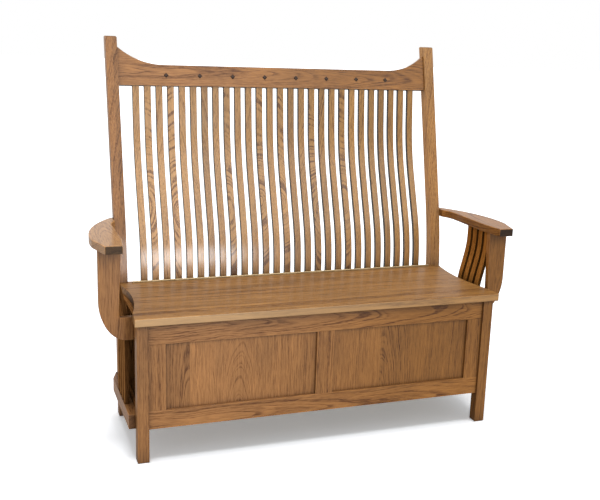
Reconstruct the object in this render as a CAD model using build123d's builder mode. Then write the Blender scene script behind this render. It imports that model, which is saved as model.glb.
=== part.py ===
"""High-back mission settle: a slatted hall bench whose seat is the lid of a storage chest."""
import os
from math import atan2, cos, degrees, radians

from build123d import *

os.makedirs("parts", exist_ok=True)

# X runs along the settle, Y from front to back, Z up from the floor.
# A depth is measured backwards from the front face of the chest's rails.

# Overall sizes
frame_width = 1178
seat_height = 457
overall_height = 1236

# Rear posts: nearly upright to the knee, then raked back
post_width = 37
post_depth = 36
post_knee_depth = 387.5
post_knee_rise = 100
post_foot_lead = 28.5
post_top_rake = 160
post_bend_radius = 1400
post_top_ease = 3

# Front legs, standing proud of the rails
leg_width = 35
leg_depth = 35
leg_proud = 8
foot_ease = 1.5

# Chest framing
rail_thickness = 22
top_rail_height = 65
bottom_rail_height = 58
bottom_rail_lift = 103
stile_width = 51.5
muntin_width = 57
panel_thickness = 7
panel_recess = 9
groove_depth = 6
fit_gap = 0.2
tenon_length = 14
tenon_thickness = 9
tenon_shoulder = 8
tenon_wall = 2.5
floor_thickness = 12
floor_rise = 25
cleat_size = 18

# Seat lid: scooped ends, widest at the front
lid_thickness = 25
lid_overhang = 27
lid_front_reach = 8
lid_shoulder_reach = 4
lid_waist_inset = 22
lid_rear_inset = 6
lid_shoulder_share = 0.16
lid_waist_share = 0.59
lid_ease = 2
batten_width = 42
batten_thickness = 18
batten_inset = 40
batten_place_share = 0.58

# Continuous hinge along the lid's rear edge
barrel_radius = 2.5
pin_radius = 1.15
hinge_running_gap = 0.05
leaf_thickness = 1.2
leaf_height = 18
leaf_gap = 0.6
barrel_lift = 0.35
neck_bite = 0.9
knuckle_count = 23
knuckle_gap = 0.5
hinge_end_gap = 13
hinge_rail_height = 60
hinge_rail_thickness = 11

# Slats of the back, and the rail that holds their feet
slat_count = 27
slat_end_spaces = 1.45
slat_width = 22
slat_thickness = 15
slat_lower_bend_share = 0.15
slat_upper_bend_share = 0.655
slat_lower_radius_share = 0.83
slat_upper_radius_share = 1.15
slat_top_lean_share = 0.095
slat_top_tenon = 12
slat_foot_tenon = 15
slat_rail_inset = 3.5
slat_rail_thickness = 24
slat_rail_height = 57
slat_rail_drop = 5

# Crest rail and its pegs
crest_drop = 153
crest_height = 68
crest_thickness = 22
crest_sweep_length = 148
crest_sweep_rise = 56
peg_count = 8
peg_end_spaces = 1.38
peg_side = 11.5
peg_turn = 45
peg_proud = 2
peg_depth = 10
peg_bevel = 2.5
peg_bevel_height = 1.6

# Arms: reaches are measured outwards from the posts' outer faces
arm_rise = 204
arm_thickness = 25.5
arm_front_depth = 33
arm_clip_length = 91
arm_inner_clip_length = 85
arm_front_inner_reach = 29
arm_front_outer_reach = 79
arm_widest_reach = 104
arm_bulge_reach = 79
arm_bulge_share = 0.605
arm_inner_reach = 18
arm_scoop_length = 61
arm_scoop_lead = 19
arm_tail = 8
arm_toe = 5
arm_ease = 2

# J-shaped arm supports
support_front_depth = 91
support_thickness = 20
support_outer_reach = 93
support_inner_top_reach = 27
support_inner_low_reach = 35
support_bend_rise = 23
support_heel_reach = 82
support_foot_height = 72
support_seat_gap = 3
support_crook_radius = 8

# Side slats and the shelves they stand on
side_slat_count = 4
side_slat_pitch = 38
side_slat_front_gap = 5
side_slat_width = 24
side_slat_thickness = 13
side_slat_place_share = 0.525
side_slat_spread = 30.5
side_slat_low_bend_share = 0.588
side_slat_high_bend_share = 0.853
side_slat_radius_share = 0.67
side_slat_tenon = 8
shelf_thickness = 20
shelf_height = 45
shelf_lift = 99
shelf_clip_length = 53
shelf_toe = 4

# Room for cuts to run past a face
overrun = 5

# Places that follow from the sizes above
half_width = frame_width / 2
post_inner = half_width - post_width
leg_inner = half_width - leg_width
leg_back = leg_depth - leg_proud
side_face = half_width - leg_proud
side_middle = side_face - rail_thickness / 2
post_foot_depth = post_knee_depth - post_foot_lead
post_top_depth = post_knee_depth + post_top_rake
post_knee_height = seat_height + post_knee_rise
overall_depth = lid_overhang + post_top_depth + post_depth
face_y = lid_overhang - overall_depth / 2
lid_underside = seat_height - lid_thickness
top_rail_lift = lid_underside - top_rail_height
panel_low = bottom_rail_lift + bottom_rail_height
panel_high = top_rail_lift
lean = post_top_rake / (overall_height - post_knee_height)
lean_angle = degrees(atan2(lean, 1))
lean_cos = cos(radians(lean_angle))
side_tenon_length = leg_back - (rail_thickness + tenon_thickness) / 2 - tenon_wall


def behind(depth):
    """Y of a place that lies this far behind the front face of the rails."""
    return face_y + depth


def post_front(height):
    """Y of the posts' front face at a height below the knee."""
    return behind(post_foot_depth + post_foot_lead * height / post_knee_height)


def post_front_above(height):
    """Y of the posts' front face at a height above the knee."""
    return behind(post_knee_depth + lean * (height - post_knee_height))


def centred(middle, size, gap=0):
    """A range of this size about its middle, wider by the gap at both ends."""
    return (middle - size / 2 - gap, middle + size / 2 + gap)


def outwards(side, near, far):
    """X range between two distances from the middle plane, on one side of it."""
    return sorted((side * near, side * far))


def tenon_heights(low, height, gap=0):
    """Height range of the tenon on a rail of this height."""
    return (low + tenon_shoulder - gap, low + height - tenon_shoulder + gap)


def block(x_range, y_range, z_range, mode=Mode.ADD):
    """A box between two limits on each axis."""
    ranges = (x_range, y_range, z_range)
    with Locations(tuple(sum(limits) / 2 for limits in ranges)):
        Box(*[high - low for low, high in ranges], mode=mode)


def front_plane(y):
    """Upright plane across the settle, seen from the front."""
    return Plane(origin=(0, y, 0), x_dir=(1, 0, 0), z_dir=(0, -1, 0))


def save(piece, name):
    """Label a finished piece and write it out under its own name."""
    piece.part.label = name
    export_step(piece.part, f"parts/{name}.step")


# Rails and panel at the back of the chest
slat_rail_top = seat_height - slat_rail_drop
slat_rail_low = slat_rail_top - slat_rail_height
slat_rail_front = post_front(slat_rail_top - slat_rail_height / 2) + slat_rail_inset
slat_rail_y = (slat_rail_front, slat_rail_front + slat_rail_thickness)
back_rail_y = centred(post_front(bottom_rail_lift) + post_depth / 2, rail_thickness)

# Lid and hinge, in front of the slat rail
hinge_rail_y = (slat_rail_front - hinge_rail_thickness, slat_rail_front)
fixed_leaf_y = (hinge_rail_y[0] - leaf_thickness, hinge_rail_y[0])
hinge_y = fixed_leaf_y[0] - leaf_gap / 2
hinge_z = seat_height + barrel_radius + barrel_lift
lid_rear_y = hinge_y - leaf_gap / 2 - leaf_thickness
lid_leaf_y = (lid_rear_y, lid_rear_y + leaf_thickness)
lid_front_y = behind(-lid_overhang)
lid_depth = lid_rear_y - lid_front_y

# Crest: its front face lies in a plane that leans with the posts
crest_lift = overall_height - crest_drop
crest_y = post_front_above(crest_lift) + (post_depth - crest_thickness) / 2
crest_plane = Plane(
    origin=(0, crest_y, crest_lift), x_dir=(1, 0, 0), z_dir=(0, -lean_cos, lean * lean_cos)
)
crest_middle_y = crest_y + crest_thickness / 2 / lean_cos

# Back slats
clear_width = 2 * post_inner
slat_pitch = clear_width / (slat_count - 1 + 2 * slat_end_spaces)
slat_xs = [(i - (slat_count - 1) / 2) * slat_pitch for i in range(slat_count)]
slat_foot_y = sum(slat_rail_y) / 2
back_rise = crest_lift - seat_height

# Pegs
peg_pitch = clear_width / (peg_count - 1 + 2 * peg_end_spaces)
peg_places = [((i - (peg_count - 1) / 2) * peg_pitch, crest_height / 2) for i in range(peg_count)]

# Arms, side slats and shelves
arm_top = seat_height + arm_rise
arm_underside = arm_top - arm_thickness
shelf_top = shelf_lift + shelf_height
side_slat_low_x = half_width + side_slat_place_share * shelf_thickness
side_slat_front_y = behind(support_front_depth + support_thickness + side_slat_front_gap)
side_slat_first_y = side_slat_front_y + side_slat_width / 2
side_slat_ys = [side_slat_first_y + i * side_slat_pitch for i in range(side_slat_count)]


def slat_band(margin):
    """Side view of a back slat: a short upright foot, a raked middle and a steeper top."""
    upper_z = seat_height + slat_upper_bend_share * back_rise
    upper_y = crest_middle_y - slat_top_lean_share * (crest_lift - upper_z)
    top = slat_top_tenon + margin
    with BuildSketch() as band:
        with BuildLine():
            FilletPolyline(
                (slat_foot_y, slat_rail_top - slat_foot_tenon - margin),
                (slat_foot_y, seat_height + slat_lower_bend_share * back_rise),
                (upper_y, upper_z),
                (crest_middle_y + slat_top_lean_share * top, crest_lift + top),
                radius=[slat_lower_radius_share * back_rise, slat_upper_radius_share * back_rise],
            )
        trace(line_width=slat_thickness + 2 * margin)
    return band.sketch


def side_slat_band(side, margin):
    """Front view of a side slat: upright from the shelf, then out to the arm."""
    rise = arm_underside - shelf_top
    low_x = side * side_slat_low_x
    high_x = side * (side_slat_low_x + side_slat_spread)
    with BuildSketch() as band:
        with BuildLine():
            FilletPolyline(
                (low_x, shelf_top - side_slat_tenon - margin),
                (low_x, shelf_top + side_slat_low_bend_share * rise),
                (high_x, shelf_top + side_slat_high_bend_share * rise),
                (high_x, arm_underside + side_slat_tenon + margin),
                radius=side_slat_radius_share * rise,
            )
        trace(line_width=side_slat_thickness + 2 * margin)
    return band.sketch


def side_slat_set(side, margin):
    """The side slats of one side, larger by the margin all round."""
    band = side_slat_band(side, margin)
    with BuildPart() as slats:
        for y in side_slat_ys:
            with BuildSketch(front_plane(y)):
                add(band)
            extrude(amount=side_slat_width / 2 + margin, both=True)
    return slats


def side_outline(low, high):
    """Side view of a piece that fills the space between front leg and rear post."""
    with BuildSketch() as outline:
        with BuildLine():
            Polyline(
                (behind(leg_back), low),
                (post_front(low), low),
                (post_front(high), high),
                (behind(leg_back), high),
                close=True,
            )
        make_face()
    return outline.sketch


def back_panel_outline(low, high, gap):
    """Side view of the back panel, which leans with the posts at the middle of their depth."""
    front, rear = centred(post_depth / 2, panel_thickness, gap)
    with BuildSketch() as outline:
        with BuildLine():
            Polyline(
                (post_front(low) + front, low),
                (post_front(low) + rear, low),
                (post_front(high) + rear, high),
                (post_front(high) + front, high),
                close=True,
            )
        make_face()
    return outline.sketch


def side_panel_x(side, gap):
    """X range of a side panel, set back from the face of the side rails."""
    outer = side_face - panel_recess
    return outwards(side, outer + gap, outer - panel_thickness - gap)


slat_side = slat_band(0)
slat_slot = slat_band(fit_gap)
crest_tenon_middle = (
    crest_middle_y + lean * lean_cos * (crest_height / 2 - lean * crest_thickness / 2),
    crest_lift + lean_cos * (crest_height / 2 - lean * crest_thickness / 2),
)
chest_rails = ((bottom_rail_lift, bottom_rail_height), (top_rail_lift, top_rail_height))
front_tenon_y = centred(behind(rail_thickness / 2), tenon_thickness)
front_mortise_y = centred(behind(rail_thickness / 2), tenon_thickness, fit_gap)


# Rear posts
def make_rear_post(side):
    corners = [
        (behind(post_foot_depth), 0),
        (behind(post_knee_depth), post_knee_height),
        (behind(post_top_depth), overall_height),
    ]
    with BuildPart() as post:
        with BuildSketch(Plane.YZ.offset(side * (half_width - post_width / 2))):
            with BuildLine():
                front = FilletPolyline(*corners, radius=post_bend_radius)
                rear = FilletPolyline(
                    *[(y + post_depth, z) for y, z in corners], radius=post_bend_radius - post_depth
                )
                Line(front @ 0, rear @ 0)
                Line(front @ 1, rear @ 1)
            make_face()
        extrude(amount=post_width / 2, both=True)
        chamfer(post.faces().sort_by(Axis.Z)[-1].edges(), length=post_top_ease)
        chamfer(post.faces().sort_by(Axis.Z)[0].edges(), length=foot_ease)
        # Mortise of the crest, square to the raked stretch
        with BuildSketch(Plane.YZ.offset(side * post_inner)):
            with Locations(crest_tenon_middle):
                Rectangle(
                    tenon_thickness + 2 * fit_gap,
                    crest_height - 2 * tenon_shoulder + 2 * fit_gap,
                    rotation=-lean_angle,
                )
        extrude(amount=side * (tenon_length + fit_gap), mode=Mode.SUBTRACT)
        # Mortises of the two back rails, in the inner face
        mortise_x = outwards(side, post_inner - overrun, post_inner + tenon_length + fit_gap)
        for y_range, low, height in (
            (slat_rail_y, slat_rail_low, slat_rail_height),
            (back_rail_y, bottom_rail_lift, bottom_rail_height),
        ):
            mortise_y = centred(sum(y_range) / 2, tenon_thickness, fit_gap)
            block(mortise_x, mortise_y, tenon_heights(low, height, fit_gap), mode=Mode.SUBTRACT)
        # Mortises of the side rails, in the front face
        side_mortise_x = centred(side * side_middle, tenon_thickness, fit_gap)
        for low, height in chest_rails:
            front_y = post_front(low + height / 2)
            mortise_y = (front_y - overrun, front_y + side_tenon_length + fit_gap)
            block(side_mortise_x, mortise_y, tenon_heights(low, height, fit_gap), mode=Mode.SUBTRACT)
    return post


# Front legs
def make_front_leg(side):
    with BuildPart() as leg:
        block(
            outwards(side, leg_inner, half_width),
            (behind(-leg_proud), behind(leg_back)),
            (0, lid_underside),
        )
        chamfer(leg.faces().sort_by(Axis.Z)[0].edges(), length=foot_ease)
        front_mortise_x = outwards(side, leg_inner - overrun, leg_inner + tenon_length + fit_gap)
        side_mortise_x = centred(side * side_middle, tenon_thickness, fit_gap)
        side_mortise_y = (behind(leg_back - side_tenon_length - fit_gap), behind(leg_back + overrun))
        for low, height in chest_rails:
            heights = tenon_heights(low, height, fit_gap)
            block(front_mortise_x, front_mortise_y, heights, mode=Mode.SUBTRACT)
            block(side_mortise_x, side_mortise_y, heights, mode=Mode.SUBTRACT)
    return leg


# Crest rail: swept rises at both ends, mortises for the slats, square sockets for the pegs
sweep_start = post_inner - crest_sweep_length
with BuildPart() as crest_rail:
    with BuildSketch(crest_plane):
        with BuildLine():
            sweeps = [
                TangentArc(
                    (side * sweep_start, crest_height),
                    (side * post_inner, crest_height + crest_sweep_rise),
                    tangent=(side, 0),
                )
                for side in (-1, 1)
            ]
            Line(sweeps[0] @ 0, sweeps[1] @ 0)
            Polyline(sweeps[0] @ 1, (-post_inner, 0), (post_inner, 0), sweeps[1] @ 1)
        make_face()
    extrude(amount=-crest_thickness)
    for side in (-1, 1):
        with BuildSketch(Plane.YZ.offset(side * post_inner)):
            with Locations(crest_tenon_middle):
                Rectangle(tenon_thickness, crest_height - 2 * tenon_shoulder, rotation=-lean_angle)
        extrude(amount=side * tenon_length)
    for x in slat_xs:
        with BuildSketch(Plane.YZ.offset(x)):
            add(slat_slot)
        extrude(amount=slat_width / 2 + fit_gap, both=True, mode=Mode.SUBTRACT)
    with BuildSketch(crest_plane):
        with Locations(*peg_places):
            Rectangle(peg_side + 2 * fit_gap, peg_side + 2 * fit_gap, rotation=peg_turn)
    extrude(amount=-(peg_depth + fit_gap), mode=Mode.SUBTRACT)
save(crest_rail, "crest_rail")

# Pegs: square, set cornerwise, with low bevelled heads
with BuildPart() as crest_pegs:
    with BuildSketch(crest_plane.offset(-peg_depth)):
        with Locations(*peg_places):
            Rectangle(peg_side, peg_side, rotation=peg_turn)
    extrude(amount=peg_depth + peg_proud)
    for head in crest_pegs.faces().group_by(Axis(crest_plane.origin, crest_plane.z_dir))[-1]:
        chamfer(head.edges(), length=peg_bevel, length2=peg_bevel_height, reference=head)
save(crest_pegs, "crest_pegs")

# Back slats: one bent slat for each mortise
for number, x in enumerate(slat_xs, start=1):
    with BuildPart() as back_slat:
        with BuildSketch(Plane.YZ.offset(x)):
            add(slat_side)
        extrude(amount=slat_width / 2, both=True)
    save(back_slat, f"back_slat_{number:02d}")


# Back rails, tenoned into the posts and grooved for the panel
def make_back_rail(y_range, low, height, groove_low, groove_high, slat_mortises):
    with BuildPart() as rail:
        block((-post_inner, post_inner), y_range, (low, low + height))
        tenon_reach = post_inner + tenon_length
        tenon_y = centred(sum(y_range) / 2, tenon_thickness)
        block((-tenon_reach, tenon_reach), tenon_y, tenon_heights(low, height))
        with BuildSketch(Plane.YZ):
            add(back_panel_outline(groove_low, groove_high, fit_gap))
        extrude(amount=post_inner, both=True, mode=Mode.SUBTRACT)
        if slat_mortises:
            mortise_y = centred(slat_foot_y, slat_thickness, fit_gap)
            mortise_z = (slat_rail_top - slat_foot_tenon - fit_gap, slat_rail_top + overrun)
            for x in slat_xs:
                block(centred(x, slat_width, fit_gap), mortise_y, mortise_z, mode=Mode.SUBTRACT)
    return rail


slat_rail = make_back_rail(
    slat_rail_y, slat_rail_low, slat_rail_height, slat_rail_low - overrun, slat_rail_low + groove_depth, True
)
back_bottom_rail = make_back_rail(
    back_rail_y, bottom_rail_lift, bottom_rail_height, panel_low - groove_depth, panel_low + overrun, False
)
save(slat_rail, "slat_rail")
save(back_bottom_rail, "back_bottom_rail")

tongue = groove_depth - fit_gap
with BuildPart() as back_panel:
    with BuildSketch(Plane.YZ):
        add(back_panel_outline(panel_low - tongue, slat_rail_low + tongue, 0))
    extrude(amount=post_inner - fit_gap, both=True)
save(back_panel, "back_panel")

# Hinge rail: in front of the slat rail, flush with the seat
with BuildPart() as hinge_rail:
    block((-post_inner, post_inner), hinge_rail_y, (seat_height - hinge_rail_height, seat_height))
save(hinge_rail, "hinge_rail")

# Front frame of the chest
frame_y = (behind(0), behind(rail_thickness))
panel_y = (behind(panel_recess), behind(panel_recess + panel_thickness))
groove_y = (behind(panel_recess - fit_gap), behind(panel_recess + panel_thickness + fit_gap))
panel_z = (panel_low - tongue, panel_high + tongue)
top_groove_z = (panel_high - overrun, panel_high + groove_depth)
bottom_groove_z = (panel_low - groove_depth, panel_low + overrun)
stile_inner = leg_inner - stile_width
muntin_half = muntin_width / 2


def make_front_rail(low, height, groove_z):
    with BuildPart() as rail:
        block((-leg_inner, leg_inner), frame_y, (low, low + height))
        tenon_reach = leg_inner + tenon_length
        block((-tenon_reach, tenon_reach), front_tenon_y, tenon_heights(low, height))
        block((-leg_inner, leg_inner), groove_y, groove_z, mode=Mode.SUBTRACT)
    return rail


save(make_front_rail(top_rail_lift, top_rail_height, top_groove_z), "front_top_rail")
save(make_front_rail(bottom_rail_lift, bottom_rail_height, bottom_groove_z), "front_bottom_rail")

with BuildPart() as front_stiles:
    for side in (-1, 1):
        block(outwards(side, stile_inner, leg_inner), frame_y, (panel_low, panel_high))
        block(outwards(side, stile_inner + groove_depth, leg_inner), panel_y, panel_z)
        groove_x = outwards(side, stile_inner - overrun, stile_inner + groove_depth)
        block(groove_x, groove_y, (panel_low, panel_high), mode=Mode.SUBTRACT)
save(front_stiles, "front_stiles")

with BuildPart() as front_muntin:
    tongue_half = muntin_half - groove_depth
    block((-muntin_half, muntin_half), frame_y, (panel_low, panel_high))
    block((-tongue_half, tongue_half), panel_y, panel_z)
    for side in (-1, 1):
        groove_x = outwards(side, tongue_half, muntin_half + overrun)
        block(groove_x, groove_y, (panel_low, panel_high), mode=Mode.SUBTRACT)
save(front_muntin, "front_muntin")

with BuildPart() as front_panels:
    for side in (-1, 1):
        block(outwards(side, muntin_half - tongue, stile_inner + tongue), panel_y, panel_z)
save(front_panels, "front_panels")


# Sides of the chest: rails and panels end on the sloping fronts of the rear posts
def make_side_rails(low, height, groove_z):
    with BuildPart() as rails:
        for side in (-1, 1):
            with BuildSketch(Plane.YZ.offset(side * side_middle)):
                add(side_outline(low, low + height))
            extrude(amount=rail_thickness / 2, both=True)
            rear_y = post_front(low + height / 2)
            tenon_y = (behind(leg_back - side_tenon_length), rear_y + side_tenon_length)
            block(centred(side * side_middle, tenon_thickness), tenon_y, tenon_heights(low, height))
            groove_run = (behind(leg_back), post_front(low + height))
            block(side_panel_x(side, fit_gap), groove_run, groove_z, mode=Mode.SUBTRACT)
    return rails


save(make_side_rails(top_rail_lift, top_rail_height, top_groove_z), "side_top_rails")
save(make_side_rails(bottom_rail_lift, bottom_rail_height, bottom_groove_z), "side_bottom_rails")

with BuildPart() as side_panels:
    for side in (-1, 1):
        with BuildSketch(Plane.YZ.offset(sum(side_panel_x(side, 0)) / 2)):
            add(side_outline(*panel_z))
        extrude(amount=panel_thickness / 2, both=True)
save(side_panels, "side_panels")

# Chest floor, notched round legs and posts, on its two cleats
floor_low = bottom_rail_lift + floor_rise
floor_z = (floor_low, floor_low + floor_thickness)
floor_half = side_face - rail_thickness - fit_gap
with BuildPart() as chest_floor:
    block((-floor_half, floor_half), (frame_y[1] + fit_gap, back_rail_y[0] - fit_gap), floor_z)
    for side in (-1, 1):
        leg_notch_x = outwards(side, leg_inner - fit_gap, floor_half + overrun)
        leg_notch_y = (frame_y[1] - overrun, behind(leg_back + fit_gap))
        block(leg_notch_x, leg_notch_y, floor_z, mode=Mode.SUBTRACT)
        post_notch_x = outwards(side, post_inner - fit_gap, floor_half + overrun)
        post_notch_y = (post_front(floor_low) - fit_gap, back_rail_y[0] + overrun)
        block(post_notch_x, post_notch_y, floor_z, mode=Mode.SUBTRACT)
save(chest_floor, "chest_floor")

with BuildPart() as floor_cleats:
    cleat_z = (floor_low - cleat_size, floor_low)
    cleat_half = min(leg_inner, post_inner) - tenon_length
    block((-cleat_half, cleat_half), (frame_y[1], frame_y[1] + cleat_size), cleat_z)
    block((-cleat_half, cleat_half), (back_rail_y[0] - cleat_size, back_rail_y[0]), cleat_z)
save(floor_cleats, "floor_cleats")

# Seat lid: a plank with scooped ends
with BuildPart() as seat_lid:
    with BuildSketch(Plane.XY.offset(lid_underside)):
        with BuildLine():
            fronts = [(side * (half_width + lid_front_reach), lid_front_y) for side in (-1, 1)]
            shoulder_y = lid_front_y + lid_shoulder_share * lid_depth
            scoops = [
                ThreePointArc(
                    (side * (half_width + lid_shoulder_reach), shoulder_y),
                    (side * (half_width - lid_waist_inset), lid_front_y + lid_waist_share * lid_depth),
                    (side * (half_width - lid_rear_inset), lid_rear_y),
                )
                for side in (-1, 1)
            ]
            Polyline(scoops[0] @ 0, fronts[0], fronts[1], scoops[1] @ 0)
            Line(scoops[0] @ 1, scoops[1] @ 1)
        make_face()
    extrude(amount=lid_thickness)
    front_face = seat_lid.faces().sort_by(Axis.Y)[0]
    chamfer(front_face.edges().filter_by(Axis.X), length=lid_ease)
save(seat_lid, "seat_lid")

with BuildPart() as lid_battens:
    for side in (-1, 1):
        block(
            centred(side * batten_place_share * post_inner, batten_width),
            (frame_y[1] + batten_inset, lid_rear_y - batten_inset),
            (lid_underside - batten_thickness, lid_underside),
        )
save(lid_battens, "lid_battens")

# Continuous hinge: barrel above the seat, leaves let down between lid and hinge rail
hinge_half = post_inner - hinge_end_gap
knuckle_pitch = 2 * hinge_half / knuckle_count


def make_leaf(leaf_y, first_knuckle):
    """A leaf with every second knuckle, from the one named."""
    with BuildPart() as leaf:
        block((-hinge_half, hinge_half), leaf_y, (seat_height - leaf_height, seat_height))
        for index in range(first_knuckle, knuckle_count, 2):
            start = -hinge_half + index * knuckle_pitch + knuckle_gap / 2
            knuckle_x = (start, start + knuckle_pitch - knuckle_gap)
            with BuildSketch(Plane.YZ.offset(start)):
                with Locations((hinge_y, hinge_z)):
                    Circle(barrel_radius)
            extrude(amount=knuckle_pitch - knuckle_gap)
            block(knuckle_x, leaf_y, (seat_height - leaf_gap, hinge_z - barrel_radius + neck_bite))
        with BuildSketch(Plane.YZ):
            with Locations((hinge_y, hinge_z)):
                Circle(pin_radius + hinge_running_gap)
        extrude(amount=hinge_half + overrun, both=True, mode=Mode.SUBTRACT)
    return leaf


save(make_leaf(fixed_leaf_y, 0), "hinge_leaf_fixed")
save(make_leaf(lid_leaf_y, 1), "hinge_leaf_lid")

with BuildPart() as hinge_pin:
    with BuildSketch(Plane.YZ):
        with Locations((hinge_y, hinge_z)):
            Circle(pin_radius)
    extrude(amount=hinge_half, both=True)
save(hinge_pin, "hinge_pin")


# Arms: a swollen outer edge, clipped front corners and a scoop in to the post
def make_arm(side):
    post_y = post_front_above(arm_underside)
    rear_y = post_y + post_depth + arm_tail
    scoop_y = post_y - arm_scoop_lead
    clip_y = behind(arm_front_depth + arm_clip_length)
    inner_x = side * (half_width + arm_inner_reach)
    with BuildPart() as arm:
        with BuildSketch(Plane.XY.offset(arm_underside)):
            with BuildLine():
                outer = ThreePointArc(
                    (side * (half_width + arm_toe), rear_y),
                    (side * (half_width + arm_bulge_reach), clip_y + arm_bulge_share * (rear_y - clip_y)),
                    (side * (half_width + arm_widest_reach), clip_y),
                )
                front = Polyline(
                    outer @ 1,
                    (side * (half_width + arm_front_outer_reach), behind(arm_front_depth)),
                    (side * (half_width + arm_front_inner_reach), behind(arm_front_depth)),
                    (inner_x, behind(arm_front_depth + arm_inner_clip_length)),
                    (inner_x, scoop_y - arm_scoop_length),
                )
                scoop = TangentArc(front @ 1, (side * half_width, scoop_y), tangent=(0, 1))
                Polyline(scoop @ 1, (side * half_width, rear_y), outer @ 0)
            make_face()
        extrude(amount=arm_thickness)
        chamfer(arm.faces().sort_by(Axis.Z)[-1].edges(), length=arm_ease)
        add(side_slat_set(side, fit_gap).part, mode=Mode.SUBTRACT)
    return arm


# J-shaped arm supports, fixed to the side rails below the seat
def make_arm_support(side):
    foot_top = lid_underside - support_seat_gap
    foot_low = foot_top - support_foot_height
    outer_x = half_width + support_outer_reach
    inner_x = half_width + support_inner_top_reach
    heel_z = seat_height + support_bend_rise
    with BuildPart() as support:
        with BuildSketch(front_plane(behind(support_front_depth + support_thickness))):
            with BuildLine():
                heel = EllipticalCenterArc(
                    (outer_x - support_heel_reach, heel_z),
                    support_heel_reach,
                    heel_z - foot_low,
                    start_angle=270,
                    arc_size=90,
                )
                Polyline(heel @ 1, (outer_x, arm_underside), (inner_x, arm_underside))
                FilletPolyline(
                    (inner_x, arm_underside),
                    (half_width + support_inner_low_reach, foot_top),
                    (side_face, foot_top),
                    radius=support_crook_radius,
                )
                Polyline((side_face, foot_top), (side_face, foot_low), heel @ 0)
            make_face()
            if side < 0:
                mirror(about=Plane.YZ, mode=Mode.REPLACE)
        extrude(amount=support_thickness)
    return support


# Shelves low on the outside of the chest, which carry the side slats: they butt against
# the leg's back face, lie against the side rail and run on past the post
def make_slat_shelf(side):
    post_y = post_front(shelf_lift)
    rear_y = post_y + post_depth
    outer_x = side * (half_width + shelf_thickness)
    with BuildPart() as shelf:
        with BuildSketch(Plane.XY.offset(shelf_lift)):
            with BuildLine():
                Polyline(
                    (side * side_face, behind(leg_back)),
                    (outer_x, behind(leg_back)),
                    (outer_x, rear_y - shelf_clip_length),
                    (side * (half_width + shelf_toe), rear_y),
                    (side * half_width, rear_y),
                    (side * half_width, post_y - fit_gap),
                    (side * side_face, post_y - fit_gap),
                    close=True,
                )
            make_face()
        extrude(amount=shelf_height)
        add(side_slat_set(side, fit_gap).part, mode=Mode.SUBTRACT)
    return shelf


for side, word in ((-1, "left"), (1, "right")):
    save(make_rear_post(side), f"rear_post_{word}")
    save(make_front_leg(side), f"front_leg_{word}")
    save(make_arm(side), f"arm_{word}")
    save(make_arm_support(side), f"arm_support_{word}")
    save(make_slat_shelf(side), f"slat_shelf_{word}")
    save(side_slat_set(side, 0), f"side_slats_{word}")
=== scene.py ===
import random
from collections import namedtuple
from dataclasses import dataclass, replace
from math import cos, radians, sin

import bpy
from mathutils import Matrix, Vector


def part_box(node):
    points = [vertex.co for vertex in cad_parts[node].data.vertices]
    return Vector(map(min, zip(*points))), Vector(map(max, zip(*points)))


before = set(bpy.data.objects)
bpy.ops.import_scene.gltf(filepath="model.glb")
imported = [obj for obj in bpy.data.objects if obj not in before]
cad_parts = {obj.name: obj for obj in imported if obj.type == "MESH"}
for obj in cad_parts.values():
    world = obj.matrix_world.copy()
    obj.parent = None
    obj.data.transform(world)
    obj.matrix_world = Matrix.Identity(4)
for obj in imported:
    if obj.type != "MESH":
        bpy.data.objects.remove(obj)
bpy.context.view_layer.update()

# Camera that fits the photograph, in the part's frame: metres, degrees and millimetres
CAMERA_PLACE = (-0.99635, -2.80566, 1.25514)
CAMERA_YAW = 21.09
CAMERA_DIP = 13.67
CAMERA_ROLL = 2.20
SENSOR = 36
LENS = 54.79
SHIFT = (-0.0375, 0.0169)


def placed(name, data):
    """A new object, linked to the scene."""
    made = bpy.data.objects.new(name, data)
    bpy.context.scene.collection.objects.link(made)
    return made


def place_camera():
    """Look at the settle from the photograph's viewing angle."""
    yaw, dip, roll = (radians(angle) for angle in (CAMERA_YAW, CAMERA_DIP, CAMERA_ROLL))
    look = Vector((sin(yaw) * cos(dip), cos(yaw) * cos(dip), -sin(dip)))
    level = Vector((cos(yaw), -sin(yaw), 0))
    upright = level.cross(look)
    right = level * cos(roll) + upright * sin(roll)
    up = upright * cos(roll) - level * sin(roll)
    data = bpy.data.cameras.new("camera")
    data.sensor_fit = "HORIZONTAL"
    data.sensor_width, data.lens = SENSOR, LENS
    data.shift_x, data.shift_y = SHIFT
    camera = placed("camera", data)
    turn = Matrix((right, up, -look)).transposed().to_4x4()
    camera.matrix_world = Matrix.Translation(CAMERA_PLACE) @ turn
    bpy.context.scene.camera = camera


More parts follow.
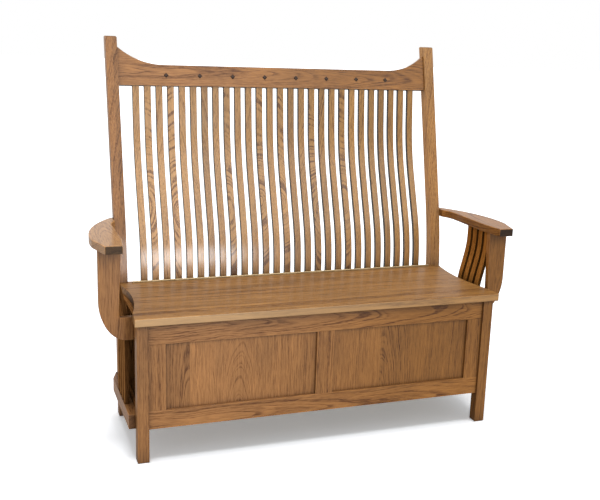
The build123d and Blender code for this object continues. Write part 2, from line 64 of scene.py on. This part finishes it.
class Socket:
    """One output of a shader's node, with the arithmetic of its values."""

    def __init__(self, shader, output):
        self.shader, self.output = shader, output

    def _math(self, operation, *values):
        return self.shader.node("Math", {"operation": operation}, values)

    def __add__(self, other):
        return self._math("ADD", self, other)

    def __sub__(self, other):
        return self._math("SUBTRACT", self, other)

    def __rsub__(self, other):
        return self._math("SUBTRACT", other, self)

    def __mul__(self, other):
        return self._math("MULTIPLY", self, other)

    def __truediv__(self, other):
        return self._math("DIVIDE", self, other)

    def __neg__(self):
        return self * -1

    __radd__ = __add__
    __rmul__ = __mul__

    def root(self):
        return self._math("SQRT", self)

    def rest(self):
        """What is left above the whole number below."""
        return self._math("FRACT", self)

    def unsigned(self):
        return self._math("ABSOLUTE", self)

    def held(self):
        """Kept from 0 to 1."""
        return self._math("MINIMUM", self._math("MAXIMUM", self, 0), 1)

    def between(self, low, high):
        """0 below low, 1 above high, and a soft rise from one to the other."""
        inputs = {"Value": self, "From Min": low, "From Max": high}
        return self.shader.node("MapRange", {"interpolation_type": "SMOOTHSTEP"}, inputs)

    def swing(self):
        """A value from 0 to 1 as a swing to both sides of 0."""
        return self - 0.5

    def from_least(self, least):
        """From least up to 1, as this goes from 0 to 1."""
        return least + (1 - least) * self

    def dimming(self, share):
        """A factor that loses the share, as this goes from 0 to 1."""
        return 1 - self * share


class Shader:
    """The nodes of a material or the world, and the one way to add to them."""

    def __init__(self, owner):
        self.owner = owner
        owner.use_nodes = True
        self.tree = owner.node_tree
        self.tree.nodes.clear()

    def node(self, kind, settings=None, inputs=(), output=0):
        """Add a node of a kind, with its settings and its sockets' values or links."""
        made = self.tree.nodes.new("ShaderNode" + kind)
        for key, value in (settings or {}).items():
            if key == "stops":
                self._set_stops(made.color_ramp, value)
            else:
                setattr(made, key, value)
        pairs = inputs.items() if isinstance(inputs, dict) else enumerate(inputs)
        for key, value in pairs:
            if isinstance(value, Socket):
                self.tree.links.new(value.output, made.inputs[key])
            elif value is not None:
                made.inputs[key].default_value = value
        return Socket(self, made.outputs[output]) if made.outputs else None

    def _set_stops(self, ramp, stops):
        ramp.interpolation = "CONSTANT"
        while len(ramp.elements) < len(stops):
            ramp.elements.new(1.0)
        for element, (place, colour) in zip(ramp.elements, stops):
            element.position, element.color = place, (*colour, 1)

    def coordinate(self, kind):
        """The three values of one of the object's own coordinates, by axis."""
        place = self.node("TexCoord", None, (), kind)
        return dict(zip("XYZ", self.parts(place)))

    def parts(self, vector):
        return [self.node("SeparateXYZ", None, (vector,), axis) for axis in range(3)]

    def joined(self, x, y, z):
        return self.node("CombineXYZ", None, (x, y, z))

    def mix(self, first, second, factor):
        """From the first colour to the second."""
        settings = {"data_type": "RGBA", "clamp_factor": True}
        # The node has a socket of each name for numbers, vectors and colours: these are the colours
        return self.node("Mix", settings, {6: first, 7: second, 0: factor}, 2)

    def times(self, colour, other):
        return self.node("VectorMath", {"operation": "MULTIPLY"}, (colour, other))

    def noise(self, place, scale, detail, rough):
        inputs = {"Vector": place, "Scale": scale, "Detail": detail, "Roughness": rough}
        return self.node("TexNoise", {"noise_dimensions": "3D"}, inputs)

    def bands(self, value):
        """Uneven bands along one value."""
        inputs = {"W": value, "Scale": 1, "Detail": 1, "Roughness": 0.5}
        return self.node("TexNoise", {"noise_dimensions": "1D"}, inputs)

    def finish(self, surface, kind="OutputMaterial"):
        """Join the surface to the output, and give back the material or world."""
        self.node(kind, None, {"Surface": surface})
        return self.owner


def rgb(red, green, blue):
    """A colour given in the 0 to 255 steps of a screen, as light, by the screen's own curve."""
    steps = (red / 255, green / 255, blue / 255)
    return tuple(s / 12.92 if s <= 0.04045 else ((s + 0.055) / 1.055) ** 2.4 for s in steps) + (1,)


def toned(colour, by):
    """The colour times a factor for each of red, green and blue."""
    return tuple(c * b for c, b in zip(colour, by)) + (1,)


STAIN = rgb(150, 101, 51)
SLAT_STAIN = rgb(170, 125, 70)
SEAT_STAIN = rgb(143, 100, 50)
POST_STAIN = rgb(152, 108, 58)
PEG_STAIN = rgb(50, 32, 20)
# Plainer wood of the pieces inside the chest
SECONDARY = rgb(196, 164, 122)
# Wood where the stain has worn off
WORN = rgb(216, 184, 142)
# The stain's palest and darkest, as factors
PALE_SIDE = (1.30, 1.36, 1.48)
DARK_SIDE = (0.37, 0.28, 0.20)
# Painted light falling off from left to right: a paler, cooler sheen at the left end and painted
# shade at the right, as factors, and how far from the middle they are reached
LEFT_PAINTED_LIGHT = (1.10, 1.13, 1.34, 1)
RIGHT_PAINTED_SHADE = (0.87, 0.83, 0.66, 1)
HALF_WIDTH = 0.6
# Painted shade in tight places, from ambient occlusion, and on faces that look down
PAINTED_SHADE_REACH = 0.05
PAINTED_SHADE_SAMPLES = 6
NOOK_PAINTED_SHADE = 0.65
UNDERSIDE_PAINTED_SHADE = 0.5
# How much less worn the right end is
WORN_LESS = 0.6

# Marks drawn out along the grain: steps in a metre across and along it, layers, roughness
Marks = namedtuple("Marks", "across along detail rough")
DASHES = Marks(420, 28, 2, 0.6)
STREAKS = Marks(230, 11, 4, 0.7)
WIDE_STREAKS = Marks(48, 3.5, 3, 0.6)
PORES = Marks(1100, 75, 2, 0.6)
CLOUDS = Marks(17, 5, 3, 0.6)
PATCHES = Marks(30, 13, 1, 0.5)
# How rings wander: noise's scale, layers and roughness, and its reach beside and below
SWAY, SWAY_BESIDE, SWAY_BELOW = (8, 2, 0.5), 0.05, 0.03
RIPPLE, RIPPLE_BESIDE = (60, 2, 0.6), 0.005
# How widths and strengths change from ring to ring
WIDTH_BEAT, WIDTH_CHANGE = 0.6, 3.5
STRENGTH_BEAT, STRENGTH_START = 0.9, 31
# How far apart in the noise two pieces lie, for a seed of 1
SEED_STEP = 17.3

# Where a mark or a face begins to count, and where it counts in full
RING_OPENS = (0.0, 0.10)
RING_CLOSES = (0.18, 0.62)
STRONG_RING = (0.35, 0.6)
DASH_SEEN = (0.38, 0.62)
PORE_SEEN = (0.52, 0.66)
PATCH_SEEN = (0.42, 0.58)
SIDE_FACE = (0.8, 0.98)
UNDER_FACE = (0.25, 0.8)
RIM_BEGINS = (0.2, 0.5)
RIM_ENDS = (0.85, 0.97)
END_FULL = 0.95

# The least of a mark outside the marks that carry it
PORES_LEAST, WEAK_RING, DASH_LEAST = 0.3, 0.35, 0.50
# How dark plain wood is, and what each mark adds to it
PLAIN_DUSK, RING_DUSK, DASH_DUSK, PORE_DUSK = 0.14, 0.80, 0.30, 0.30
# Brightness of the clouds: the least, and what is added
CLOUD_LEAST, CLOUD_MORE = 0.70, 0.60
# Height of the marks against each other, and of the relief in metres
STREAK_HEIGHT, PORE_HEIGHT, RING_HEIGHT = 0.4, 0.8, 0.3
RELIEF_STRENGTH, RELIEF = 0.25, 0.0005
# What open pores, hollow streaks and end grain add to the roughness
PORE_ROUGH, HOLLOW_ROUGH, END_ROUGH = 0.12, 0.10, 0.15

# A ramp's stops hold shares from 0 to 1: the spans that they stand for.
# Tone and depth begin at 0, and side and tilt have 0 in the middle of their spans.
TONE_SPAN, DEPTH_SPAN, SIDE_SPAN, TILT_SPAN = 2, 0.2, 2, 0.4

# One of the boards glued up into a piece: where it starts, as a share of the width, and its cut
Board = namedtuple("Board", "start tone side depth tilt seed figure")
Grain = namedtuple("Grain", "dusk clouds streak pores height")


@dataclass
class Cut:
    """How one piece is cut from the oak, stained and polished, and the painted light and shade it
    takes. Lengths are in metres.
    """
    # Axis of the grain, and axis of the width
    along: str
    across: str
    # Brightness, the pith's place beside and behind the middle, its lean, the place in the
    # noise and the strength of the rings: boards that are glued up bring their own
    boards: tuple = ()
    tone: float = 1.0
    side: float = 0.0
    depth: float = 0.06
    tilt: float = 0.05
    seed: float = 0.0
    figure: float = 1.0
    # Width of a ring, and how fast the rings wander along the grain
    ring: float = 0.0075
    wander: float = 0.15
    # Strength of fine and of wide streaks, and how far rings are kept to patches
    streaky: float = 0.9
    coarse: float = 0.25
    patchy: float = 0.0
    # Stain, and how much of the painted light falloff from left to right the piece takes
    stain: tuple = STAIN
    fade: float = 1.0
    # End grain's darkening and where it begins, and how much paler the rims are, as wear and
    # painted highlight; a negative value darkens them as painted shade
    end: float = 0.5
    end_from: float = 0.6
    rim_light_and_wear: float = 0.12
    # Painted shade on the sides (a negative value paints light on them), or only on those that look
    # left or forward, and their wear
    side_painted_shade: float = 0.0
    near_only: bool = False
    worn: float = 0.0
    # Roughness of the wood, the polish on it and its roughness, and the wood's own shine
    gloss: float = 0.40
    coat: float = 0.13
    coat_rough: float = 0.12
    shine: float = 0.2


def side_by_side(shader, share, boards):
    """The cut of whichever board lies at a share of the width."""
    first = [(board.start, (board.tone / TONE_SPAN, board.side / SIDE_SPAN + 0.5,
                            board.depth / DEPTH_SPAN)) for board in boards]
    second = [(board.start, (board.tilt / TILT_SPAN + 0.5, board.seed, board.figure))
              for board in boards]
    tone, side, depth = shader.parts(shader.node("ValToRGB", {"stops": first}, (share,)))
    tilt, seed, figure = shader.parts(shader.node("ValToRGB", {"stops": second}, (share,)))
    return dict(tone=tone * TONE_SPAN, side=side.swing() * SIDE_SPAN, depth=depth * DEPTH_SPAN,
                tilt=tilt.swing() * TILT_SPAN, seed=seed, figure=figure)


def grain(shader, across, through, along, cut):
    """The marks in a piece of oak, from the place in its width, its thickness and its length."""
    far = cut.seed * SEED_STEP

    def marks(kind, moved="across"):
        spot = {"across": across * kind.across, "through": through * kind.across}
        spot[moved] = spot[moved] + far
        place = shader.joined(spot["across"], spot["through"], along * kind.along)
        return shader.noise(place, 1, kind.detail, kind.rough)

    # Rings round a pith that lies off the board, wandering along the grain
    drift = shader.joined(across + far, through - far, along * cut.wander)
    sway = shader.noise(drift, *SWAY).swing()
    ripple = shader.noise(drift, *RIPPLE).swing()
    beside = across - cut.side + sway * SWAY_BESIDE + ripple * RIPPLE_BESIDE
    below = through + cut.depth + along * cut.tilt + sway * SWAY_BELOW
    turns = (beside * beside + below * below).root() / cut.ring + far
    # Each ring starts with a sharp row of pores and fades into dense wood
    ring_part = (turns + shader.bands(turns * WIDTH_BEAT) * WIDTH_CHANGE).rest()
    porous = ring_part.between(*RING_OPENS) * (1 - ring_part.between(*RING_CLOSES))
    strength = shader.bands(turns * STRENGTH_BEAT + STRENGTH_START).between(*STRONG_RING)
    # Short dashes, fine and wide streaks, and open pores
    dash = marks(DASHES).between(*DASH_SEEN)
    streak = marks(STREAKS)
    wide = marks(WIDE_STREAKS)
    pores = marks(PORES, "through").between(*PORE_SEEN) * porous.from_least(PORES_LEAST)
    dark_row = porous * strength.from_least(WEAK_RING) * dash.from_least(DASH_LEAST)
    if cut.patchy:
        dark_row = dark_row * marks(PATCHES).between(*PATCH_SEEN).from_least(1 - cut.patchy)
    dusk = (PLAIN_DUSK + RING_DUSK * dark_row * cut.figure + streak.swing() * cut.streaky
            + dash.swing() * DASH_DUSK + pores * PORE_DUSK + wide.swing() * cut.coarse)
    height = streak * STREAK_HEIGHT - pores * PORE_HEIGHT - dark_row * RING_HEIGHT
    return Grain(dusk, marks(CLOUDS), streak, pores, height)


def oak(name, cut):
    """The stained oak of one node, with painted light and shade."""
    shader = Shader(bpy.data.materials.new("oak_" + name))
    low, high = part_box(name)
    ends = dict(zip("XYZ", zip(low, high)))
    place, facing = shader.coordinate("Object"), shader.coordinate("Normal")
    if cut.boards:
        inputs = (place[cut.across], *ends[cut.across])
        share = shader.node("MapRange", None, inputs)
        cut = replace(cut, **side_by_side(shader, share, cut.boards))
    through = next(axis for axis in "XYZ" if axis not in (cut.along, cut.across))
    spot = [place[axis] - sum(ends[axis]) / 2 for axis in (cut.across, through, cut.along)]
    wood = grain(shader, *spot, cut)
    pale, dark = toned(cut.stain, PALE_SIDE), toned(cut.stain, DARK_SIDE)
    colour = shader.mix(pale, dark, wood.dusk.held())
    # Painted light: paler and cooler at the left end of the settle, painted shade towards the right
    rightward = place["X"].between(-HALF_WIDTH, HALF_WIDTH)
    painted_falloff = shader.mix(LEFT_PAINTED_LIGHT, RIGHT_PAINTED_SHADE, rightward.swing() * cut.fade + 0.5)
    colour = shader.times(colour, painted_falloff)
    # Which way the face looks
    end_on, side_on = facing[cut.along].unsigned(), facing[cut.across].unsigned()
    end_grain = end_on.between(cut.end_from, END_FULL)
    sides = side_on.between(*SIDE_FACE)
    rims = side_on.between(*RIM_BEGINS) * (1 - side_on.between(*RIM_ENDS))
    under = (-facing["Z"]).between(*UNDER_FACE)
    # Sides that take painted shade, or painted light where the share is negative
    painted_shade_sides = (-facing[cut.across]).between(*SIDE_FACE) if cut.near_only else sides
    if cut.worn:
        colour = shader.mix(colour, WORN, sides * cut.worn * rightward.dimming(WORN_LESS))
    # How bright the place is: clouds in the wood and end grain, with painted highlight or shade on
    # the rims, and painted shade in nooks, on the sides and on undersides
    # Ambient occlusion, used to paint shade into the colour of tight places
    openness_for_painted_shade = shader.node("AmbientOcclusion", {"samples": PAINTED_SHADE_SAMPLES},
                           {"Distance": PAINTED_SHADE_REACH}, "AO")
    level = cut.tone * (CLOUD_LEAST + CLOUD_MORE * wood.clouds)
    level = level * end_grain.dimming(cut.end) * (1 + rims * cut.rim_light_and_wear)
    level = level * openness_for_painted_shade.from_least(1 - NOOK_PAINTED_SHADE) * painted_shade_sides.dimming(cut.side_painted_shade)
    # Painted shade on faces that look down
    level = level * under.dimming(UNDERSIDE_PAINTED_SHADE)
    colour = shader.times(colour, shader.joined(level, level, level))
    relief = {"Height": wood.height, "Strength": RELIEF_STRENGTH, "Distance": RELIEF}
    rough = (cut.gloss + PORE_ROUGH * wood.pores + HOLLOW_ROUGH * (1 - wood.streak)
             + end_grain * END_ROUGH)
    surface = shader.node("BsdfPrincipled", None, {
        "Base Color": colour, "Roughness": rough, "Normal": shader.node("Bump", None, relief),
        "Coat Weight": end_grain.dimming(cut.end) * cut.coat,
        "Coat Roughness": cut.coat_rough, "Specular IOR Level": cut.shine})
    return shader.finish(surface)


# Dulled metal of the hinge: its colour and its tarnish
HINGE_METAL = rgb(168, 146, 110)
HINGE_TARNISH = rgb(126, 104, 74)
# Spots of tarnish: noise's scale, layers and roughness, where they begin and are full, strength
SPOTS = (180, 3, 0.6)
SPOT_SEEN = (0.45, 0.8)
SPOT_STRENGTH = 0.5
SPOT_RELIEF = {"Strength": 0.15, "Distance": 0.0003}
METAL_SHARE = 0.55
METAL_ROUGH, SPOT_ROUGH = 0.42, 0.2


def hinge_metal():
    """The dulled metal that the hinge's three pieces share."""
    shader = Shader(bpy.data.materials.new("hinge_metal"))
    spots = shader.noise(shader.node("TexCoord", None, (), "Object"), *SPOTS)
    tarnish = spots.between(*SPOT_SEEN) * SPOT_STRENGTH
    surface = shader.node("BsdfPrincipled", None, {
        "Base Color": shader.mix(HINGE_METAL, HINGE_TARNISH, tarnish), "Metallic": METAL_SHARE,
        "Roughness": METAL_ROUGH + SPOT_ROUGH * spots,
        "Normal": shader.node("Bump", None, {"Height": spots, **SPOT_RELIEF})})
    return shader.finish(surface)


SEAT_BOARDS = (
    Board(0, tone=0.92, side=-0.04, depth=0.06, tilt=0.024, seed=0.1, figure=0.8),
    Board(0.2, tone=0.86, side=0.06, depth=0.07, tilt=-0.032, seed=0.9, figure=0.6),
    Board(0.42, tone=0.90, side=-0.16, depth=0.08, tilt=0.02, seed=0.4, figure=0.9),
    Board(0.62, tone=0.82, side=0.10, depth=0.06, tilt=0.04, seed=0.7, figure=0.7),
    Board(0.82, tone=0.86, side=0, depth=0.09, tilt=-0.02, seed=0.25, figure=0.7),
)
# Both panels are one node, so the boards of the left and of the right one follow each other
PANEL_BOARDS = (
    Board(0, tone=0.88, side=-0.44, depth=0.05, tilt=0.02, seed=0.3, figure=0.9),
    Board(0.078, tone=1.14, side=-0.60, depth=0.10, tilt=0, seed=0.6, figure=0.3),
    Board(0.156, tone=1.03, side=-0.27, depth=0.044, tilt=0.18, seed=0.8, figure=0.55),
    Board(0.356, tone=1.00, side=0.10, depth=0.08, tilt=-0.02, seed=0.2, figure=0.6),
    Board(0.5, tone=1.02, side=-0.12, depth=0.06, tilt=-0.04, seed=0.9, figure=0.5),
    Board(0.69, tone=0.90, side=0.20, depth=0.04, tilt=0.16, seed=0.35, figure=0.9),
    Board(0.80, tone=0.90, side=0.70, depth=0.10, tilt=0.02, seed=0.15, figure=0.6),
)
POST_BOARDS = (
    Board(0, tone=0.88, side=0.24, depth=0.18, tilt=0.008, seed=0.2, figure=0.8),
    Board(0.58, tone=0.72, side=0.14, depth=0.14, tilt=0.012, seed=0.6, figure=1.1),
)
INSIDE = Cut("X", "Y", seed=0.3, figure=0.5, stain=SECONDARY, gloss=0.55, coat=0)

CUTS = {
    "crest_rail": Cut("X", "Z", tone=0.94, side=-0.01, depth=0.05, seed=0.31, figure=0.85,
                      wander=0.35, fade=1.5),
    "front_top_rail": Cut("X", "Z", tone=1.07, side=0.01, depth=0.04, tilt=0.06, seed=0.77,
                          wander=0.55, coarse=0.15, fade=1.5),
    "front_bottom_rail": Cut("X", "Z", tone=1.08, side=-0.02, depth=0.05, tilt=0.04, seed=0.13,
                             wander=0.3),
    "front_stiles": Cut("Z", "X", side=0.03, depth=0.05, seed=0.45),
    "front_muntin": Cut("Z", "X", side=0.05, depth=0.03, seed=0.15),
    "front_panels": Cut("Z", "X", PANEL_BOARDS, ring=0.006, wander=0.3, streaky=0.4, coarse=0.2,
                        fade=1.35),
    "seat_lid": Cut("X", "Y", SEAT_BOARDS, ring=0.018, coarse=1.3, stain=SEAT_STAIN, fade=0.25,
                    end=0.1, side_painted_shade=-0.18, worn=0.4, coat=0.06),
    "side_panels": Cut("Z", "Y", tone=0.75, side=0.02, seed=0.6, coat=0, shine=0),
    "side_top_rails": Cut("Y", "Z", side=0.03, seed=0.65, coat=0, shine=0),
    "side_bottom_rails": Cut("Y", "Z", side=-0.03, seed=0.35, coat=0, shine=0),
    "slat_rail": Cut("X", "Z", seed=0.5),
    "hinge_rail": Cut("X", "Z", seed=0.9),
    "back_bottom_rail": Cut("X", "Z", seed=0.2),
    "back_panel": Cut("X", "Z", tone=0.95, side=0.05, depth=0.09, seed=0.7),
    "crest_pegs": Cut("Y", "Z", figure=0.3, stain=PEG_STAIN, end=0, rim_light_and_wear=0.4),
    "chest_floor": INSIDE,
    "floor_cleats": INSIDE,
    "lid_battens": INSIDE,
    "rear_post_left": Cut("Z", "X", POST_BOARDS),
    "rear_post_right": Cut("Z", "X", tone=1.08, side=0.25, depth=0.20, tilt=0.01, seed=0.7,
                           figure=0.8, stain=POST_STAIN, fade=0.2, side_painted_shade=-0.55),
}

# Pieces made once for each side: what both share, and what the left and the right one have of
# their own. A shared seed is counted on from the side's.
SIDE_SEEDS = {"left": 0.2, "right": 0.7}
PAIRS = {
    "front_leg": (Cut("Z", "X", side=0.2, depth=0.12, tilt=0.02, seed=0.1, figure=0.5),
                  {"left": dict(tone=0.86), "right": dict(tone=0.90)}),
    "arm": (Cut("Y", "X", side=0.01, depth=0.05, end_from=0.8, rim_light_and_wear=0.3),
            {"left": dict(tone=0.98, figure=0.6, stain=POST_STAIN, end=0.82, coat=0.36),
             "right": dict(tone=0.88, end=0.9, coat=0.25)}),
    "arm_support": (Cut("Z", "X", side=0.06, depth=0.08, seed=0.2, figure=0.6),
                    {"left": dict(tone=0.93), "right": dict(tone=0.78, side_painted_shade=-0.6)}),
    "slat_shelf": (Cut("Y", "X", side=0.03), {"left": {}, "right": {}}),
    "side_slats": (Cut("Z", "Y", side=0.03, tilt=0.1, seed=0.15, figure=0.7, near_only=True,
                       coat=0, shine=0),
                   {"left": dict(tone=0.95, side_painted_shade=0.6), "right": dict(tone=1.35, side_painted_shade=0.75)}),
}

# Back slats that stand out from the rest, by number from the left: tone, figure
MARKED_SLATS = {
    2: (1.08, 2.4), 4: (1.05, 2.2), 7: (0.80, 1.3), 9: (0.92, 2.2), 12: (0.95, 2.0),
    14: (1.02, 2.3), 15: (0.86, 1.3), 17: (0.90, 2.1), 18: (0.88, 1.2), 20: (0.98, 2.1),
    24: (0.86, 1.0),
}
# The others' tone and figure are drawn from these
SLAT_TONES = (0.90, 1.06)
SLAT_FIGURES = (0.45, 0.8)
# A slat with a stronger figure than this is cut closer to the pith
FLAMED_FROM = 1.35
# The pith's place and lean are drawn from these
SlatLog = namedtuple("SlatLog", "side depth tilt ring patchy")
PLAIN_LOG = SlatLog(side=(0.05, 0.12), depth=(0.02, 0.10), tilt=(-0.10, 0.10), ring=0.006, patchy=0)
FLAMED_LOG = SlatLog(side=(0.012, 0.028), depth=(0.03, 0.05), tilt=(0.10, 0.16), ring=0.010,
                     patchy=0.75)
# The slats darken a little from left to right, as painted light falling off
LEFT_SLAT_TONE, SLAT_PAINTED_FALLOFF_STEP = 1.02, 0.004
# Where the draws for the slats begin
DRAW_SEED = 27
SLAT = Cut("Z", "X", stain=SLAT_STAIN, rim_light_and_wear=-0.65, side_painted_shade=0.91, near_only=True, coat=0.40,
           coat_rough=0.2)


def slat_oak(name, number, draw):
    """The oak of one back slat."""
    plain = draw.uniform(*SLAT_TONES), draw.uniform(*SLAT_FIGURES)
    tone, figure = MARKED_SLATS.get(number, plain)
    log = FLAMED_LOG if figure > FLAMED_FROM else PLAIN_LOG
    side = draw.choice((-1, 1)) * draw.uniform(*log.side)
    depth = draw.uniform(*log.depth)
    tilt = draw.uniform(*log.tilt)
    tone = tone * (LEFT_SLAT_TONE - SLAT_PAINTED_FALLOFF_STEP * number)
    return oak(name, replace(SLAT, tone=tone, side=side, depth=depth, tilt=tilt, figure=figure,
                             ring=log.ring, patchy=log.patchy, seed=draw.uniform(0, 1)))


def dress():
    """Give every node of the settle its finish."""
    draw = random.Random(DRAW_SEED)
    made = {name: oak(name, cut) for name, cut in CUTS.items()}
    for kind, (shared, own) in PAIRS.items():
        for side, seed in SIDE_SEEDS.items():
            name = kind + "_" + side
            made[name] = oak(name, replace(shared, seed=seed + shared.seed, **own[side]))
    metal = hinge_metal()
    made.update((name, metal) for name in ("hinge_leaf_fixed", "hinge_leaf_lid", "hinge_pin"))
    for name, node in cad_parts.items():
        if name.startswith("back_slat_"):
            made[name] = slat_oak(name, int(name[-2:]), draw)
        node.data.materials.clear()
        node.data.materials.append(made[name])


# How far the maker eases the edges, by how a node's name starts: the last that fits counts.
# The panels' edges lie in grooves, and the hinge and its rail are left as they are.
EASED = {"seat_lid": 0.0030, "arm_": 0.0025, "arm_support": 0.0015, "back_slat": 0.0012,
         "side_slats": 0.0012, "crest_pegs": 0.0006, "hinge": 0.0, "front_panels": 0.0,
         "side_panels": 0.0}
EASE = 0.0013
# Edges eased further than this are rounded in three steps, the others in two
ROUND_FROM = 0.002
# An edge counts as sharp from here, and faces that turn less than the second are one plane
SHARP = radians(30)
FLAT = radians(0.2)
# Points of the mesh closer than this are one
SAME_PLACE = 1e-5
# How much the large faces count in the shading of the edges
EVENNESS = 80


def ease_edges():
    """Take the sharpness off the wood's edges, as sanding does."""
    for name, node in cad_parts.items():
        reach = [size for start, size in EASED.items() if name.startswith(start)]
        reach = reach[-1] if reach else EASE
        if not reach:
            continue
        joined = node.modifiers.new("joined_faces", "WELD")
        joined.merge_threshold = SAME_PLACE
        plain = node.modifiers.new("plain_faces", "DECIMATE")
        plain.decimate_type, plain.angle_limit = "DISSOLVE", FLAT
        eased = node.modifiers.new("eased_edges", "BEVEL")
        eased.width, eased.segments = reach, 3 if reach > ROUND_FROM else 2
        eased.limit_method, eased.angle_limit = "ANGLE", SHARP
        eased.use_clamp_overlap = True
        shade = node.modifiers.new("even_shading", "WEIGHTED_NORMAL")
        shade.keep_sharp = False
        shade.weight = EVENNESS


WHITE = (1, 1, 1, 1)
FLOOR_REACH = 40
# The floor as it lights the settle, and as the camera sees it
FLOOR_MATT = (0.78, 0.78, 0.78, 1)
FLOOR_BRIGHT = (1.46, 1.50, 1.56, 1)
FLOOR_GLOW = {"Color": (0.97, 1, 1, 1), "Strength": 0.21}
# The sky's light on the settle: the camera and reflections see it at 1
WORLD_LEVEL = 0.38


def lay_floor():
    """A white floor that keeps the settle's shadow."""
    mesh = bpy.data.meshes.new("floor")
    signs = ((-1, -1), (1, -1), (1, 1), (-1, 1))
    corners = [(x * FLOOR_REACH, y * FLOOR_REACH, 0) for x, y in signs]
    mesh.from_pydata(corners, [], [(0, 1, 2, 3)])
    floor = placed("floor", mesh)
    shader = Shader(bpy.data.materials.new("floor_white"))
    seen = shader.node("LightPath", None, (), "Is Camera Ray")
    matt = shader.node("BsdfDiffuse", None, {"Color": FLOOR_MATT})
    bright = shader.node("BsdfDiffuse", None, {"Color": FLOOR_BRIGHT})
    lifted = shader.node("AddShader", None, (bright, shader.node("Emission", None, FLOOR_GLOW)))
    mesh.materials.append(shader.finish(shader.node("MixShader", None, (seen, matt, lifted))))


def hang_sky():
    """A white sky all round."""
    shader = Shader(bpy.data.worlds.new("studio"))
    rays = [shader.node("LightPath", None, (), "Is %s Ray" % kind) for kind in ("Camera", "Glossy")]
    seen = shader.node("Math", {"operation": "MAXIMUM"}, rays)
    level = shader.node("MapRange", None, {"Value": seen, "To Min": WORLD_LEVEL, "To Max": 1})
    sky = shader.node("Background", None, {"Color": WHITE, "Strength": level})
    bpy.context.scene.world = shader.finish(sky, "OutputWorld")


LAMPS = (
    # name, toward the settle, strength, spread in degrees, colour
    ("top_light", (0.03, 0.05, -1.0), 1.75, 26, (1, 1, 1)),
    ("front_light", (-0.25, 1.0, -0.72), 1.35, 40, (1, 0.99, 0.97)),
    ("left_light", (1.0, 0.45, -0.45), 0.60, 50, (1, 0.99, 0.96)),
)
# Pieces that the light from the left is turned on
LEFT_LIT = ("rear_post_left", "rear_post_right", "arm_support_left", "arm_support_right",
            "crest_rail", "side_slats_right", "arm_left", "arm_right", "seat_lid")
# Soft box in front, seen only as a sheen on the wood
SOFT_BOX_SIZE = (0.8, 0.7)
SOFT_BOX_POWER = 60
SOFT_BOX_PLACE = (0.25, -3.1, 0.62)
SOFT_BOX_TOWARD = (-0.25, 1, 0)


def hung(name, data, toward):
    """A lamp that shines toward a direction."""
    lamp = placed(name, data)
    lamp.rotation_euler = Vector(toward).to_track_quat("-Z", "Y").to_euler()
    return lamp


def hang_lamps():
    """Light from above, and light from the front and the left that stays off the floor."""
    lit = {"front_light": list(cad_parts.values()),
           "left_light": [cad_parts[name] for name in LEFT_LIT]}
    for name, toward, strength, spread, colour in LAMPS:
        data = bpy.data.lights.new(name, "SUN")
        data.energy, data.angle, data.color = strength, radians(spread), colour
        lamp = hung(name, data, toward)
        if name in lit:
            group = bpy.data.collections.new("lit_by_" + name)
            for node in lit[name]:
                group.objects.link(node)
            lamp.light_linking.receiver_collection = group
    data = bpy.data.lights.new("soft_box", "AREA")
    data.shape, data.energy = "RECTANGLE", SOFT_BOX_POWER
    data.size, data.size_y = SOFT_BOX_SIZE
    soft_box = hung("soft_box", data, SOFT_BOX_TOWARD)
    soft_box.location = SOFT_BOX_PLACE
    soft_box.visible_diffuse = False


place_camera()
ease_edges()
dress()
lay_floor()
hang_sky()
hang_lamps()
bpy.context.scene.view_settings.view_transform = "Standard"
